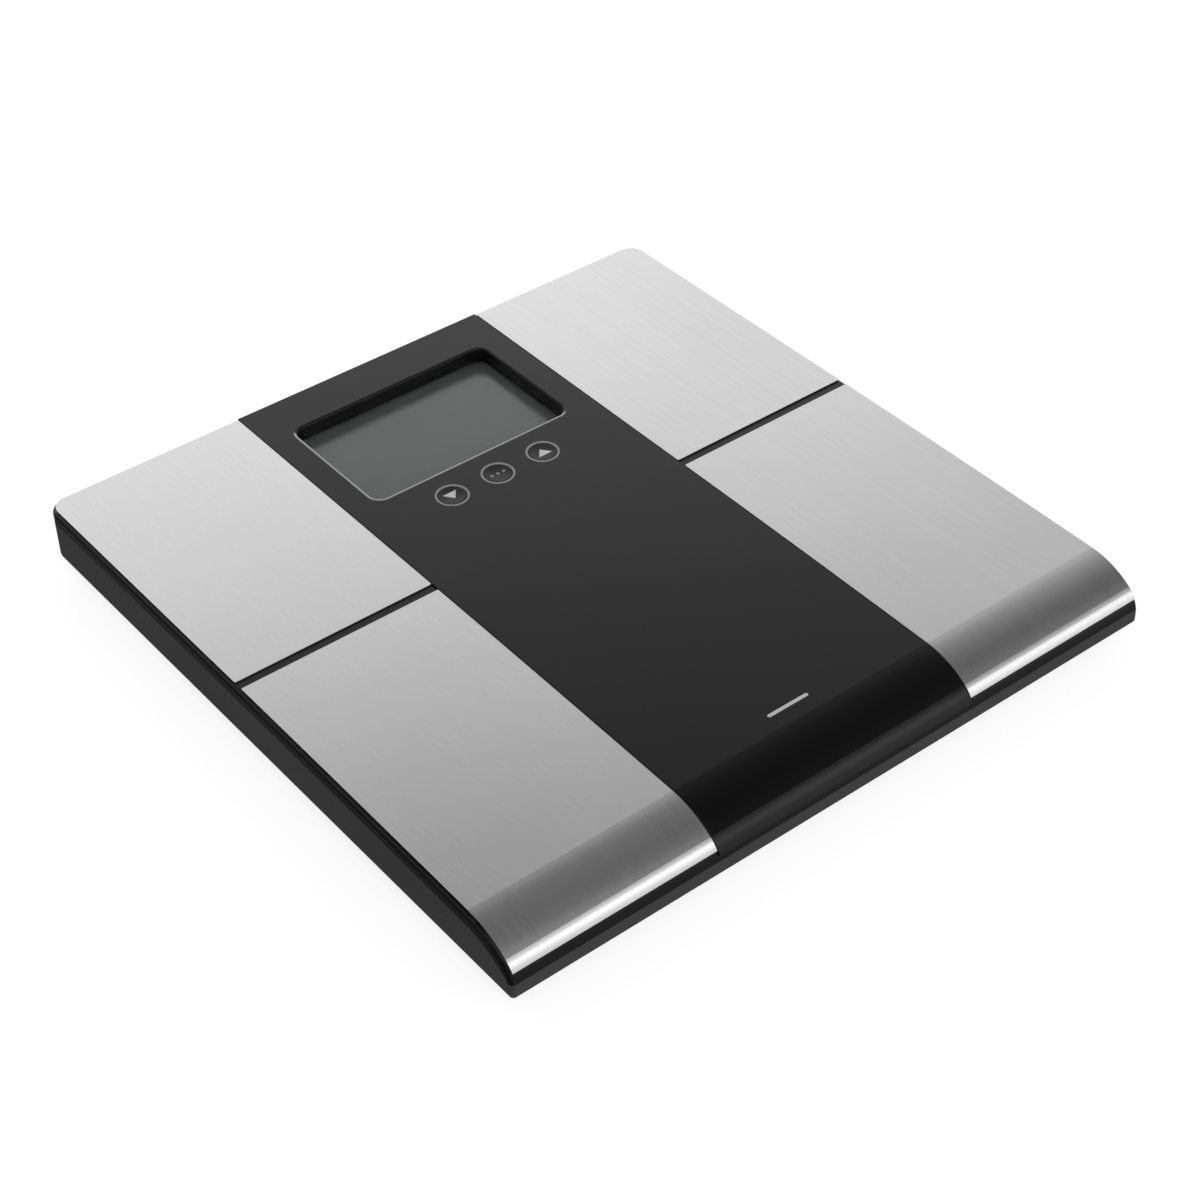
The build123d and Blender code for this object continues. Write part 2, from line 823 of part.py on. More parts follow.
def key_ribbon():
    """Flat cable from under the key board down to the main board."""
    x0 = ribbon_x - ribbon_half_width
    x1 = ribbon_x + ribbon_half_width
    drop_y = key_y + key_board_half_length + ribbon_gap
    drop_back_y = drop_y + ribbon_thickness
    upper_z = key_board_bottom - ribbon_thickness
    upper = block(x0, x1, key_y + ribbon_land, drop_back_y, upper_z, key_board_bottom)
    middle = block(x0, x1, drop_y, drop_back_y, board_top, key_board_bottom)
    lower = block(x0, x1, drop_y, drop_y + ribbon_land, board_top, board_top + ribbon_thickness)
    return upper + middle + lower


# ---------- keys ----------

def key_rings():
    """Three light rings set into the deck around the keys."""
    bottom = deck_top - ring_depth
    return group([
        disc(x, key_y, ring_radius, bottom, deck_top)
        - disc(x, key_y, key_hole_radius, bottom - cut_over, deck_top + cut_over)
        for x in key_spots.values()
    ])


def key_cap(x):
    """Round key with a finger dish, a retaining flange and a stem."""
    cap = disc(x, key_y, key_radius, key_skirt_z - join, deck_top)
    cap = fillet(cap.faces().sort_by(Axis.Z)[-1].edges(), key_edge_round)
    dish_radius = (key_radius ** 2 + key_dish_depth ** 2) / (2 * key_dish_depth)
    cap -= Pos(x, key_y, deck_top - key_dish_depth + dish_radius) * Sphere(dish_radius)
    cap += disc(x, key_y, key_flange_radius, key_skirt_z - key_flange_thickness, key_skirt_z)
    cap += disc(x, key_y, key_stem_radius, plunger_top, key_skirt_z)
    return cap


def switch_plunger(x):
    return disc(x, key_y, plunger_radius, plunger_bottom, plunger_top)


def unit_button():
    """Round button in the underside, with its flange and tip."""
    flange_top = unit_flange_bottom + unit_flange_thickness
    tip_z = unit_switch_bottom - unit_travel - unit_slack
    button = disc(unit_x, unit_y, unit_radius, unit_bottom, unit_flange_bottom + join)
    button = fillet(button.faces().sort_by(Axis.Z)[0].edges(), unit_edge_round)
    button += disc(unit_x, unit_y, unit_flange_radius, unit_flange_bottom, flange_top)
    button += disc(unit_x, unit_y, unit_tip_radius, flange_top, tip_z)
    return button


def unit_switch():
    return switch_body(unit_x, unit_y, unit_switch_bottom, board_bottom)


# ---------- feet and load cells ----------

def foot(x, y):
    """Foot with a seat for its pad, a retaining flange and a loading pin."""
    body = disc(x, y, foot_radius, foot_bottom, foot_flange_bottom + join)
    body = fillet(body.faces().sort_by(Axis.Z)[0].edges(), foot_edge_round)
    body -= disc(x, y, pad_radius, foot_bottom - cut_over, foot_bottom + pad_seat_depth)
    body -= disc(x, y, foot_core_radius, foot_bottom, foot_bottom + foot_core_depth)
    flange_top = foot_flange_bottom + foot_flange_thickness
    body += disc(x, y, foot_flange_radius, foot_flange_bottom, flange_top)
    body += disc(x, y, foot_hub_radius, foot_flange_bottom, foot_hub_top)
    pin_centre_z = cell_bottom - foot_pin_gap - foot_pin_radius
    return body + Pos(x, y, pin_centre_z) * Sphere(foot_pin_radius)


def foot_pad(x, y):
    """Rubber disc that grips the floor, with a ring groove in its underside."""
    pad = disc(x, y, pad_radius, 0, foot_bottom + pad_seat_depth)
    pad = fillet(pad.faces().sort_by(Axis.Z)[0].edges(), pad_edge_round)
    groove = disc(x, y, groove_radius + groove_width, -cut_over, groove_depth)
    return pad - (groove - disc(x, y, groove_radius, -cut_over, groove_depth))


def load_cell(x, y):
    """Half-bridge cell: a square frame with a tongue that the foot presses on."""
    cell = rounded_block(x, y, 2 * cell_half, 2 * cell_half, cell_corner_radius, cell_bottom, cell_top)
    below = cell_bottom - cut_over
    above = cell_top + cut_over
    slot_outer = cell_tongue_half + cell_slot_width
    reach = cell_half - cell_frame_width
    for sx in (-1, 1):
        x0, x1 = sorted((x + sx * cell_tongue_half, x + sx * slot_outer))
        cell -= block(x0, x1, y - reach, y + reach, below, above)
    return cell - block(x - slot_outer, x + slot_outer, y - reach, y - reach + cell_slot_width, below, above)


def strain_gauges():
    """Sealed gauge spots, one on each cell's tongue root."""
    half = gauge_length / 2
    return group([
        block(
            x - half, x + half, y + gauge_offset, y + gauge_offset + gauge_width,
            cell_top, cell_top + gauge_thickness,
        )
        for x, y in foot_spots.values()
    ])


def carrier_ear(x, y, sx):
    """Screw ear on one side of a carrier, with the bridge that joins it."""
    ear_x = x + sx * carrier_ear_x
    x0, x1 = sorted((x, ear_x))
    ear = disc(ear_x, y, carrier_ear_radius, carrier_roof_bottom, carrier_top)
    return ear + block(
        x0, x1, y - carrier_ear_radius, y + carrier_ear_radius, carrier_roof_bottom, carrier_top
    )


def cell_carrier(x, y):
    """Cup that holds a cell by its frame and leaves its tongue free to bend."""
    below = cell_bottom - cut_over
    side = 2 * carrier_half
    seat = 2 * (cell_half + cell_side_gap)
    inward = -1 if x > 0 else 1
    carrier = rounded_block(x, y, side, side, carrier_corner_radius, cell_bottom, carrier_top)
    for sx in (-1, 1):
        carrier += carrier_ear(x, y, sx)
    carrier -= rounded_block(x, y, seat, seat, cell_corner_radius, below, cell_top)
    carrier -= block(
        x - carrier_relief_half, x + carrier_relief_half, y - carrier_relief_half, y + carrier_relief_half,
        cell_top - join, carrier_roof_bottom,
    )
    notch_x0, notch_x1 = sorted((x + inward * cell_half, x + inward * (carrier_half + cut_over)))
    carrier -= block(notch_x0, notch_x1, y - carrier_notch_half, y + carrier_notch_half, below, cell_top)
    for sx in (-1, 1):
        ear_x = x + sx * carrier_ear_x
        carrier -= disc(ear_x, y, screw_hole_radius, carrier_roof_bottom - cut_over, carrier_top + cut_over)
    return carrier


# ---------- battery compartment ----------

def battery_spots():
    """Places and directions of the cells, side by side and alternating."""
    first_y = battery_y - (battery_count - 1) / 2 * battery_pitch
    return [(first_y + index * battery_pitch, 1 if index % 2 else -1) for index in range(battery_count)]


def battery(y, direction):
    """Round cell with a raised positive nub."""
    start = -direction * (battery_length + battery_nub_length) / 2
    end = start + direction * battery_length
    can = lying_disc(start, end, y, battery_axis_z, battery_radius)
    nub = lying_disc(end, end + direction * battery_nub_length, y, battery_axis_z, battery_nub_radius)
    return can + nub


def battery_contact(y, side):
    """Spring plate at one end of a battery, with its round bump."""
    touch_x = side * (battery_length + battery_nub_length) / 2
    wall_x = side * compartment_half_width
    x0, x1 = sorted((wall_x - side * contact_thickness, wall_x))
    plate = block(
        x0, x1, y - contact_half, y + contact_half,
        battery_axis_z - contact_half, battery_axis_z + contact_half,
    )
    return plate + lying_disc(touch_x, wall_x, y, battery_axis_z, contact_bump_radius)


def battery_contacts():
    return group([battery_contact(y, side) for y, _ in battery_spots() for side in (-1, 1)])


def battery_door():
    """Door with a full-round hinge edge, two pivot pins and grip grooves."""
    top = base_bottom + door_thickness
    pin_reach = door_half_width + hinge_pin_length
    door = block(-door_half_width, door_half_width, hinge_y, door_back_y, base_bottom, top)
    door += lying_disc(-door_half_width, door_half_width, hinge_y, hinge_z, door_thickness / 2)
    door += lying_disc(-pin_reach, pin_reach, hinge_y, hinge_z, hinge_pin_radius)
    for index in range(ridge_count):
        y = door_back_y - ridge_margin - ridge_pitch * index
        door -= block(
            -ridge_half_length, ridge_half_length, y - ridge_half_width, y + ridge_half_width,
            base_bottom - cut_over, base_bottom + ridge_depth,
        )
    return door


# ---------- fasteners, contacts and wires ----------

def screw(x, y, head_z, length):
    """Pan-head screw driven upwards, with a cross slot in its head."""
    shank_z = head_z + screw_head_height
    body = disc(x, y, screw_head_radius, head_z, shank_z)
    body = fillet(body.faces().sort_by(Axis.Z)[0].edges(), screw_head_round)
    long_half = screw_slot_length / 2
    thin_half = screw_slot_width / 2
    for half_x, half_y in ((long_half, thin_half), (thin_half, long_half)):
        body -= block(
            x - half_x, x + half_x, y - half_y, y + half_y, head_z - cut_over, head_z + screw_slot_depth
        )
    body += disc(x, y, screw_radius, shank_z, shank_z + length)
    return body


def case_screws():
    head_z = base_bottom + case_screw_recess
    return group([screw(x, y, head_z, case_screw_length) for x, y in case_screw_spots])


def board_screws():
    """Screws of the main board and of the key board."""
    head_z = board_bottom - screw_head_height
    key_head_z = key_board_bottom - screw_head_height
    pieces = [screw(x, y, head_z, board_screw_length) for x, y in board_posts]
    pieces += [screw(sx * key_post_x, key_y, key_head_z, key_screw_length) for sx in (-1, 1)]
    return group(pieces)


def carrier_screws():
    head_z = carrier_roof_bottom - screw_head_height
    return group([
        screw(x + sx * carrier_ear_x, y, head_z, carrier_screw_length)
        for x, y in foot_spots.values() for sx in (-1, 1)
    ])


def electrode_contact(x, y):
    """Brass stud that touches a plate from below, with a solder tab."""
    head_bottom = deck_top - recess_depth
    stud = disc(x, y, electrode_head_radius, head_bottom, deck_top - plate_thickness - stud_gap)
    stud += disc(x, y, electrode_shank_radius, electrode_bottom, head_bottom)
    stud += block(
        x - tab_half_x, x + tab_half_x, y - tab_half_y, y + tab_half_y,
        electrode_bottom, electrode_bottom + tab_thickness,
    )
    return stud


def electrode_contacts():
    return group([electrode_contact(x, y) for x, y in contact_spots])


def cell_wires():
    """Round cores from each load cell to the edge of the main board."""
    land_z = board_top + cell_wire_radius
    pieces = []
    for name, (x, y) in foot_spots.items():
        side = 1 if x > 0 else -1
        points = [(x - side * cell_half, y, cell_wire_z)]
        if name.startswith("rear"):
            points.append((side * rear_cell_wire_x, y, cell_wire_z))
            land_y = rear_cell_wire_y
        else:
            points.append((side * front_cell_wire_x, y, cell_wire_z))
            points.append((side * front_cell_wire_x, front_cell_wire_y, land_z))
            land_y = front_cell_wire_land_y
        points.append((side * cell_wire_turn_x, land_y, land_z))
        points.append((side * cell_wire_land_x, land_y, land_z))
        pieces.append(wire(points, cell_wire_radius, wire_bend))
    return group(pieces)


def electrode_wires():
    """Thin wires from the contacts to the front edge of the main board."""
    land_z = board_top + thin_wire_radius
    pieces = []
    for x, y in contact_spots:
        side = 1 if x > 0 else -1
        is_rear = y > plate_split_y
        land_x = side * (rear_contact_wire_x if is_rear else front_contact_wire_x)
        turn_x = x - side * (rear_contact_wire_shift if is_rear else 0)
        points = [
            (x, y, electrode_bottom),
            (x, y, land_z + contact_wire_drop),
            (turn_x, board_front_y - contact_wire_approach, land_z),
            (land_x, board_front_y + wire_overlap, land_z),
        ]
        pieces.append(wire(points, thin_wire_radius, thin_wire_bend))
    return group(pieces)


def battery_wires():
    """Supply pair from the battery compartment to the main board."""
    land_z = board_top + thin_wire_radius
    start_y = battery_y + compartment_half_length + compartment_wall
    pieces = []
    for x in battery_wire_xs:
        land_x = x - battery_wire_shift
        points = [
            (x, start_y, battery_wire_z),
            (x, start_y + battery_wire_run, battery_wire_z),
            (land_x, board_front_y - battery_wire_approach, land_z),
            (land_x, board_front_y + wire_overlap, land_z),
        ]
        pieces.append(wire(points, thin_wire_radius, wire_bend))
    return group(pieces)


# ---------- the whole object ----------

def all_parts():
    parts = {
        "platform_shell": platform_shell(),
        "shell_ribs": shell_ribs(),
        "rear_left_plate": rear_plate(-1),
        "rear_right_plate": rear_plate(1),
        "front_left_plate": front_plate(-1),
        "front_right_plate": front_plate(1),
        "plate_adhesive": plate_adhesive(),
        "base_tray": base_tray(),
        "display_lens": display_lens(),
        "lcd_panel": lcd_panel(),
        "lcd_backlight": lcd_backlight(),
        "lcd_holder": lcd_holder(),
        "zebra_strip": zebra_strip(),
        "main_board": main_board(),
        "board_components": board_components(),
        "key_board": key_board(),
        "key_switches": key_switches(),
        "key_ribbon": key_ribbon(),
        "key_rings": key_rings(),
        "unit_button": unit_button(),
        "unit_switch": unit_switch(),
        "strain_gauges": strain_gauges(),
        "battery_contacts": battery_contacts(),
        "battery_door": battery_door(),
        "case_screws": case_screws(),
        "board_screws": board_screws(),
        "carrier_screws": carrier_screws(),
        "electrode_contacts": electrode_contacts(),
        "electrode_wires": electrode_wires(),
        "cell_wires": cell_wires(),
        "battery_wires": battery_wires(),
    }
    for name, x in key_spots.items():
        parts[f"{name}_key"] = key_cap(x)
        parts[f"{name}_switch_plunger"] = switch_plunger(x)
    for name, (x, y) in foot_spots.items():
        parts[f"{name}_foot"] = foot(x, y)
        parts[f"{name}_foot_pad"] = foot_pad(x, y)
        parts[f"{name}_load_cell"] = load_cell(x, y)
        parts[f"{name}_cell_carrier"] = cell_carrier(x, y)
    for index, (y, direction) in enumerate(battery_spots()):
        parts[f"battery_{index + 1}"] = battery(y, direction)
    return parts


os.makedirs("parts", exist_ok=True)
for name, shape in all_parts().items():
    export_step(shape, f"parts/{name}.step")
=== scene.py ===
import bmesh
import bpy
import math
from mathutils import Euler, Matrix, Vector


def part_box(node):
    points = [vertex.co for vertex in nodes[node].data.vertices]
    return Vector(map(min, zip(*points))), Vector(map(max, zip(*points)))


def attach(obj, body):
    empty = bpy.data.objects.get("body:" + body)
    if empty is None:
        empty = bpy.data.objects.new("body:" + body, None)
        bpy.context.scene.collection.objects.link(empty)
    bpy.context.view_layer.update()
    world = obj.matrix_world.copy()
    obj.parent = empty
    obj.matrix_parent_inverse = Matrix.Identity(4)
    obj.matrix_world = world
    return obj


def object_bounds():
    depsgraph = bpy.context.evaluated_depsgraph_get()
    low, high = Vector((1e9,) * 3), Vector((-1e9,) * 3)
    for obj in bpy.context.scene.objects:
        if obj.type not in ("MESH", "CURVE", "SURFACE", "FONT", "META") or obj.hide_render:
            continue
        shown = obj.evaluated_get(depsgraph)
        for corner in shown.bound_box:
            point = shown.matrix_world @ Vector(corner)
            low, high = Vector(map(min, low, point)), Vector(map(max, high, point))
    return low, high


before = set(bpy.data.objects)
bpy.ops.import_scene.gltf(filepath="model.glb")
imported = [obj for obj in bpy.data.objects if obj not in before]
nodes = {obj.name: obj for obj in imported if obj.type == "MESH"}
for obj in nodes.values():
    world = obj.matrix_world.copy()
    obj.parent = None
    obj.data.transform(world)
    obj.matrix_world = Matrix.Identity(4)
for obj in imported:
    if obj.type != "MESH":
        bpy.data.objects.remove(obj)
cad_low, cad_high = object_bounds()
deck_top = cad_high.z

MM = 0.001
KEYS = ("down", "set", "up")
FEET = ("rear_left", "rear_right", "front_left", "front_right")
PLATES = ("rear_left_plate", "rear_right_plate", "front_left_plate", "front_right_plate")
BATTERIES = ("battery_1", "battery_2", "battery_3", "battery_4")


# ---------- camera, light and floor ----------

CAMERA_PLACE = (-0.4785, -0.62635, 0.6652)
CAMERA_ANGLES_DEG = (49.8074, 0.8436, -38.5821)
CAMERA_LENS = 75.18
CAMERA_SENSOR = 36.0
FLOOR_HALF = 15.0
FLOOR_WHITE = 0.45
FLOOR_GLOW = 0.82

# Sine of the elevation, then the brightness of the dome there
REAR_DOME = (
    (-1.0, 0.10), (-0.06, 0.16), (0.02, 1.00), (0.34, 1.10), (0.50, 1.35), (0.56, 1.25), (0.62, 0.85),
    (0.67, 0.64), (0.72, 0.50), (0.76, 0.28), (0.80, 0.18), (1.0, 0.12),
)
FRONT_DOME = (
    (-1.0, 0.30), (-0.08, 0.38), (0.04, 0.78), (0.28, 0.92), (0.40, 1.50), (0.56, 1.60), (0.635, 0.36),
    (0.70, 0.34), (0.76, 0.14), (1.0, 0.10),
)
# The front dome's stops sink by this much per unit of the ray's X beyond a start
FRONT_SLANT = 0.6
FRONT_SLANT_FROM_X = 0.45
# The ray's Y where the rear dome starts to give way, and where only the front dome is left
DOME_BLEND = (0.25, -0.2)
# The ray's X at the dim end and at the full end, then the brightness left at the dim end
LEFT_WALL = (-0.65, -0.15, 0.40)
RIGHT_WALL = (0.74, 0.54, 0.70)


def make_camera():
    data = bpy.data.cameras.new("camera")
    data.lens = CAMERA_LENS
    data.sensor_width = CAMERA_SENSOR
    camera = bpy.data.objects.new("camera", data)
    camera.location = CAMERA_PLACE
    camera.rotation_euler = Euler([math.radians(angle) for angle in CAMERA_ANGLES_DEG])
    bpy.context.scene.collection.objects.link(camera)
    bpy.context.scene.camera = camera


def dome_ramp(tree, height, stops):
    ramp = tree.nodes.new("ShaderNodeValToRGB")
    while len(ramp.color_ramp.elements) < len(stops):
        ramp.color_ramp.elements.new(0.5)
    for element, (sine, value) in zip(ramp.color_ramp.elements, stops):
        element.position = (sine + 1) / 2
        element.color = (value, value, value, 1)
    tree.links.new(height, ramp.inputs[0])
    return ramp.outputs[0]


def make_world():
    """Soft studio dome: bright walls, brightest half way up, and a dim ceiling."""
    world = bpy.data.worlds.new("studio")
    bpy.context.scene.world = world
    world.use_nodes = True
    tree = world.node_tree
    place = tree.nodes.new("ShaderNodeTexCoord")
    axes = tree.nodes.new("ShaderNodeSeparateXYZ")
    slanted = tree.nodes.new("ShaderNodeMath")
    slanted.operation = "MULTIPLY_ADD"
    slanted.inputs[1].default_value = FRONT_SLANT
    heights = []
    for lift in (0.0, FRONT_SLANT * FRONT_SLANT_FROM_X):
        height = tree.nodes.new("ShaderNodeMapRange")
        height.inputs["From Min"].default_value = lift - 1
        height.inputs["From Max"].default_value = lift + 1
        heights.append(height)
    front = tree.nodes.new("ShaderNodeMapRange")
    front.interpolation_type = "SMOOTHSTEP"
    front.inputs["From Min"].default_value, front.inputs["From Max"].default_value = DOME_BLEND
    mix = tree.nodes.new("ShaderNodeMix")
    mix.data_type = "RGBA"
    tree.links.new(place.outputs["Generated"], axes.inputs[0])
    tree.links.new(axes.outputs["Z"], heights[0].inputs["Value"])
    tree.links.new(axes.outputs["X"], slanted.inputs[0])
    tree.links.new(axes.outputs["Z"], slanted.inputs[2])
    tree.links.new(slanted.outputs[0], heights[1].inputs["Value"])
    tree.links.new(axes.outputs["Y"], front.inputs["Value"])
    tree.links.new(front.outputs[0], mix.inputs["Factor"])
    tree.links.new(dome_ramp(tree, heights[0].outputs[0], REAR_DOME), mix.inputs["A"])
    tree.links.new(dome_ramp(tree, heights[1].outputs[0], FRONT_DOME), mix.inputs["B"])
    tree.links.new(mix.outputs["Result"], tree.nodes["Background"].inputs["Color"])
    both_walls = tree.nodes.new("ShaderNodeMath")
    both_walls.operation = "MULTIPLY"
    for (dim_end, full_end, dimmest), socket in zip((LEFT_WALL, RIGHT_WALL), both_walls.inputs):
        wall = tree.nodes.new("ShaderNodeMapRange")
        wall.interpolation_type = "SMOOTHSTEP"
        wall.inputs["From Min"].default_value = dim_end
        wall.inputs["From Max"].default_value = full_end
        wall.inputs["To Min"].default_value = dimmest
        tree.links.new(axes.outputs["X"], wall.inputs["Value"])
        tree.links.new(wall.outputs[0], socket)
    tree.links.new(both_walls.outputs[0], tree.nodes["Background"].inputs["Strength"])


def floor_paper():
    """White paper that shows from above only, so that the underside can be seen."""
    material = bpy.data.materials.new("floor_paper")
    material.use_nodes = True
    tree = material.node_tree
    shader = tree.nodes["Principled BSDF"]
    shader.inputs["Base Color"].default_value = (FLOOR_WHITE, FLOOR_WHITE, FLOOR_WHITE, 1)
    shader.inputs["Roughness"].default_value = 0.9
    shader.inputs["Specular IOR Level"].default_value = 0.1
    shader.inputs["Emission Color"].default_value = (1, 1, 1, 1)
    shader.inputs["Emission Strength"].default_value = FLOOR_GLOW
    side = tree.nodes.new("ShaderNodeNewGeometry")
    clear = tree.nodes.new("ShaderNodeBsdfTransparent")
    mix = tree.nodes.new("ShaderNodeMixShader")
    tree.links.new(side.outputs["Backfacing"], mix.inputs[0])
    tree.links.new(shader.outputs[0], mix.inputs[1])
    tree.links.new(clear.outputs[0], mix.inputs[2])
    tree.links.new(mix.outputs[0], tree.nodes["Material Output"].inputs["Surface"])
    return material


def make_floor():
    mesh = bpy.data.meshes.new("floor")
    corners = [(x * FLOOR_HALF, y * FLOOR_HALF, 0) for x, y in ((-1, -1), (1, -1), (1, 1), (-1, 1))]
    mesh.from_pydata(corners, [], [(0, 1, 2, 3)])
    mesh.materials.append(floor_paper())
    floor = bpy.data.objects.new("floor", mesh)
    bpy.context.scene.collection.objects.link(floor)
    floor.visible_glossy = False


# ---------- material kit ----------

class Surface:
    """A procedural material built around one Principled shader. Coordinates are metres in the frame."""

    def __init__(self, name, color, roughness, metallic=0.0, specular=0.5):
        self.material = bpy.data.materials.new(name)
        self.material.use_nodes = True
        self.tree = self.material.node_tree
        self.shader = self.tree.nodes["Principled BSDF"]
        self.shader.inputs["Base Color"].default_value = (*color, 1)
        self.shader.inputs["Roughness"].default_value = roughness
        self.shader.inputs["Metallic"].default_value = metallic
        self.shader.inputs["Specular IOR Level"].default_value = specular
        self.color = color
        self.place = self.tree.nodes.new("ShaderNodeTexCoord").outputs["Object"]

    def node(self, kind, **values):
        made = self.tree.nodes.new(kind)
        for key, value in values.items():
            setattr(made, key, value)
        return made

    def link(self, source, target):
        self.tree.links.new(source, target)

    def calc(self, operation, first, second=None):
        """One sum on one or two inputs, each a number or the output of a node."""
        made = self.node("ShaderNodeMath", operation=operation)
        for socket, value in zip(made.inputs, (first, second)):
            if isinstance(value, float):
                socket.default_value = value
            elif value is not None:
                self.link(value, socket)
        return made.outputs[0]

    def noise(self, scale, detail=2.0, stretch=(1, 1, 1), roughness=0.5):
        """Noise between 0 and 1. The scale is per metre, times the stretch along each axis."""
        mapping = self.node("ShaderNodeMapping")
        mapping.inputs["Scale"].default_value = stretch
        self.link(self.place, mapping.inputs["Vector"])
        made = self.node("ShaderNodeTexNoise")
        made.inputs["Scale"].default_value = scale
        made.inputs["Detail"].default_value = detail
        made.inputs["Roughness"].default_value = roughness
        self.link(mapping.outputs[0], made.inputs["Vector"])
        return made.outputs["Fac"]

    def spread(self, value, low, high):
        """Maps the middle half of a noise onto a range."""
        made = self.node("ShaderNodeMapRange")
        made.inputs["From Min"].default_value = 0.25
        made.inputs["From Max"].default_value = 0.75
        made.inputs["To Min"].default_value = low
        made.inputs["To Max"].default_value = high
        self.link(value, made.inputs["Value"])
        return made.outputs[0]

    def tone(self, factor):
        """Base colour multiplied by a factor that varies over the surface."""
        mix = self.node("ShaderNodeMix", data_type="RGBA", blend_type="MULTIPLY")
        mix.inputs["Factor"].default_value = 1.0
        mix.inputs["A"].default_value = (*self.color, 1)
        self.link(factor, mix.inputs["B"])
        self.link(mix.outputs["Result"], self.shader.inputs["Base Color"])
        return mix.outputs["Result"]

    def gloss(self, value):
        self.link(value, self.shader.inputs["Roughness"])

    def bump(self, value, height):
        made = self.node("ShaderNodeBump")
        made.inputs["Strength"].default_value = 1.0
        made.inputs["Distance"].default_value = height
        self.link(value, made.inputs["Height"])
        self.link(made.outputs[0], self.shader.inputs["Normal"])


def moulded(name, color, roughness, grain=1500.0, grain_height=0.02 * MM):
    """Moulded plastic: fine spark-eroded grain, slight colour and gloss variation."""
    surface = Surface(name, color, roughness)
    fine = surface.noise(grain, detail=3.0)
    broad = surface.noise(14.0, detail=3.0)
    surface.tone(surface.spread(broad, 0.88, 1.12))
    surface.gloss(surface.spread(fine, roughness - 0.06, roughness + 0.06))
    surface.bump(fine, grain_height)
    return surface.material


def metal(name, color, roughness):
    """Plated or ground metal with fine marks."""
    surface = Surface(name, color, roughness, metallic=1.0)
    fine = surface.noise(900.0, detail=4.0)
    surface.tone(surface.spread(fine, 0.88, 1.08))
    surface.gloss(surface.spread(fine, roughness - 0.08, roughness + 0.08))
    surface.bump(fine, 0.008 * MM)
    return surface.material


# ---------- materials of the visible parts ----------

def brushed_steel():
    """Stainless sheet with fine lines along Y, faint smudges and an even satin reflection."""
    surface = Surface("brushed_steel", (0.72, 0.72, 0.725), 0.24, metallic=1.0)
    lines = surface.noise(1.0, detail=3.0, stretch=(4200, 90, 90), roughness=0.6)
    coarse = surface.noise(1.0, detail=2.0, stretch=(900, 14, 14))
    smudge = surface.noise(11.0, detail=4.0)
    fine_tone = surface.spread(lines, 0.955, 1.035)
    broad_tone = surface.spread(smudge, 0.97, 1.03)
    surface.tone(surface.calc("MULTIPLY", fine_tone, broad_tone))
    fine_gloss = surface.spread(lines, 0.22, 0.26)
    broad_gloss = surface.spread(coarse, -0.015, 0.015)
    surface.gloss(surface.calc("ADD", fine_gloss, broad_gloss))
    surface.shader.inputs["Anisotropic"].default_value = 0.8
    tangent = surface.node("ShaderNodeCombineXYZ")
    tangent.inputs["X"].default_value = 1.0
    surface.link(tangent.outputs[0], surface.shader.inputs["Tangent"])
    return surface.material


# The lens lies under the window and reaches past it by these margins
LENS_MARGIN_X = 2.4 * MM
LENS_MARGIN_Y = 2.35 * MM
WINDOW_CORNER = 5.0 * MM
WINDOW_ROUND = 1.0 * MM
# Painted highlight: a lighter, metallic line on the window's near edges stands in for their reflection; it
# runs between these distances outside the window's wall
PAINTED_HIGHLIGHT_START = 0.3 * MM
PAINTED_HIGHLIGHT_END = 1.5 * MM
PAINTED_HIGHLIGHT_COLOR = (0.31, 0.31, 0.31, 1)
# The polished rim starts this far outside the plates
RIM_GAP = 0.2 * MM


def window_edge_masks(surface, x, y):
    """1 on the rounded edge of the window, and 1 on the painted highlight line along its left and front
    edges, the sides turned to the light.
    """
    calc = surface.calc
    lens_low, lens_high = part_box("display_lens")
    left = lens_low.x + LENS_MARGIN_X
    front = lens_low.y + LENS_MARGIN_Y
    centre_y = (lens_low.y + lens_high.y) / 2
    from_x = calc("SUBTRACT", calc("ABSOLUTE", x), -left - WINDOW_CORNER)
    from_centre_y = calc("ABSOLUTE", calc("SUBTRACT", y, centre_y))
    from_y = calc("SUBTRACT", from_centre_y, centre_y - front - WINDOW_CORNER)
    out_x = calc("MAXIMUM", from_x, 0.0)
    out_y = calc("MAXIMUM", from_y, 0.0)
    squares = calc("ADD", calc("MULTIPLY", out_x, out_x), calc("MULTIPLY", out_y, out_y))
    outer = calc("SQRT", squares)
    inner = calc("MINIMUM", calc("MAXIMUM", from_x, from_y), 0.0)
    distance = calc("ADD", outer, inner)
    past_inner = calc("GREATER_THAN", distance, WINDOW_CORNER - WINDOW_ROUND)
    before_outer = calc("LESS_THAN", distance, WINDOW_CORNER + WINDOW_ROUND)
    past_start = calc("GREATER_THAN", distance, WINDOW_CORNER + PAINTED_HIGHLIGHT_START)
    before_end = calc("LESS_THAN", distance, WINDOW_CORNER + PAINTED_HIGHLIGHT_END)
    on_left = calc("LESS_THAN", x, left)
    on_front = calc("LESS_THAN", y, front)
    near_left = calc("LESS_THAN", x, left + WINDOW_CORNER)
    near_front = calc("LESS_THAN", y, front + WINDOW_CORNER)
    sides = calc("MAXIMUM", on_left, on_front)
    lit = calc("MAXIMUM", sides, calc("MULTIPLY", near_left, near_front))
    edge = calc("MULTIPLY", past_inner, before_outer)
    # Painted highlight: only the left and front edges, the sides turned to the light, get the lighter line
    painted_highlight = calc("MULTIPLY", calc("MULTIPLY", past_start, before_end), lit)
    return edge, painted_highlight


